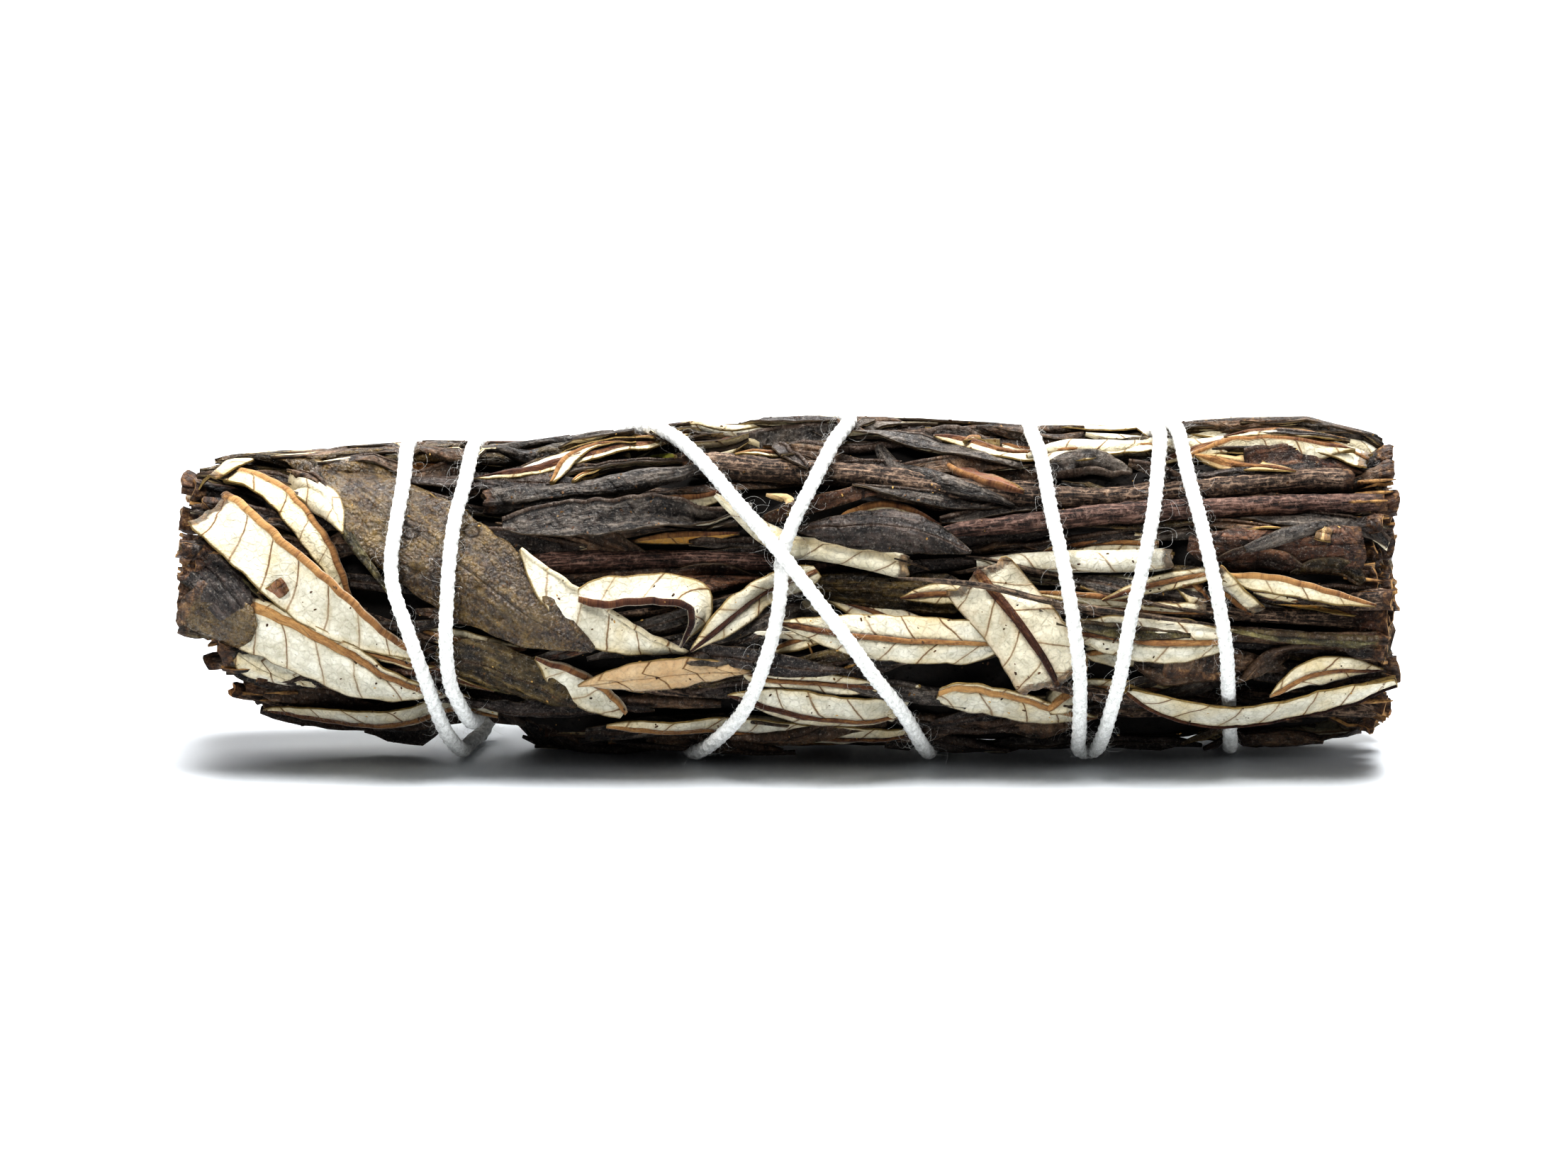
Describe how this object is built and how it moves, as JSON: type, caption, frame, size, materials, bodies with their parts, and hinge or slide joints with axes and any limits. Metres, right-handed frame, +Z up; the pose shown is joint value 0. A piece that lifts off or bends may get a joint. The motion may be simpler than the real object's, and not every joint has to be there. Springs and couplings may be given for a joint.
{
  "type": "smudge stick",
  "caption": "Hand-sized bundle of dried yerba santa: woody stems and leathery, felt-backed leaves packed side by side and bound with a criss-crossed white cotton string.",
  "frame": {"origin": "middle of the box that holds the bundle, on the surface that it lies on", "axes": "+X along the bundle, +Z up, -Y the side with the widest spread of pale leaves"},
  "size_m": [0.1014, 0.0292, 0.0286],
  "materials": {
    "packed_leaves": "matte",
    "bark": "matte",
    "felted_underside": "matte",
    "resinous_upper_side": "satin",
    "dry_brown_leaf": "matte",
    "cotton": "matte"
  },
  "bodies": {
    "root": {"brown_leaf_01": "dry_brown_leaf", "dark_leaf_01": "resinous_upper_side", "dark_leaf_02": "resinous_upper_side", "dark_leaf_03": "resinous_upper_side", "dark_leaf_04": "resinous_upper_side", "dark_leaf_05": "resinous_upper_side", "dark_leaf_06": "resinous_upper_side", "dark_leaf_07": "resinous_upper_side", "dark_leaf_08": "resinous_upper_side", "dark_leaf_09": "resinous_upper_side", "dark_leaf_10": "resinous_upper_side", "dark_leaf_11": "resinous_upper_side", "dark_leaf_12": "resinous_upper_side", "dark_leaf_13": "resinous_upper_side", "dark_leaf_14": "resinous_upper_side", "dark_leaf_15": "resinous_upper_side", "dark_leaf_16": "resinous_upper_side", "dark_leaf_17": "resinous_upper_side", "dark_leaf_18": "resinous_upper_side", "packed_leaves": "packed_leaves", "pale_leaf_01": "felted_underside", "pale_leaf_02": "felted_underside", "pale_leaf_03": "felted_underside", "pale_leaf_04": "felted_underside", "pale_leaf_05": "felted_underside", "pale_leaf_06": "felted_underside", "pale_leaf_07": "felted_underside", "pale_leaf_08": "felted_underside", "pale_leaf_09": "felted_underside", "pale_leaf_10": "felted_underside", "pale_leaf_11": "felted_underside", "pale_leaf_12": "felted_underside", "pale_leaf_13": "felted_underside", "pale_leaf_14": "felted_underside", "pale_leaf_15": "felted_underside", "pale_leaf_16": "felted_underside", "pale_leaf_17": "felted_underside", "pale_leaf_18": "felted_underside", "pale_leaf_19": "felted_underside", "pale_leaf_20": "felted_underside", "pale_leaf_21": "felted_underside", "pale_leaf_22": "felted_underside", "pale_leaf_23": "felted_underside", "pale_leaf_24": "felted_underside", "pale_leaf_25": "felted_underside", "pale_leaf_26": "felted_underside", "pale_leaf_27": "felted_underside", "pale_leaf_28": "felted_underside", "pale_leaf_29": "felted_underside", "stem_01": "bark", "stem_02": "bark", "stem_03": "bark", "stem_04": "bark", "stem_05": "bark", "stem_06": "bark", "stem_07": "bark", "stem_08": "bark", "stem_09": "bark", "string": "cotton", "twig_01": "bark"}
  },
  "joints": []
}
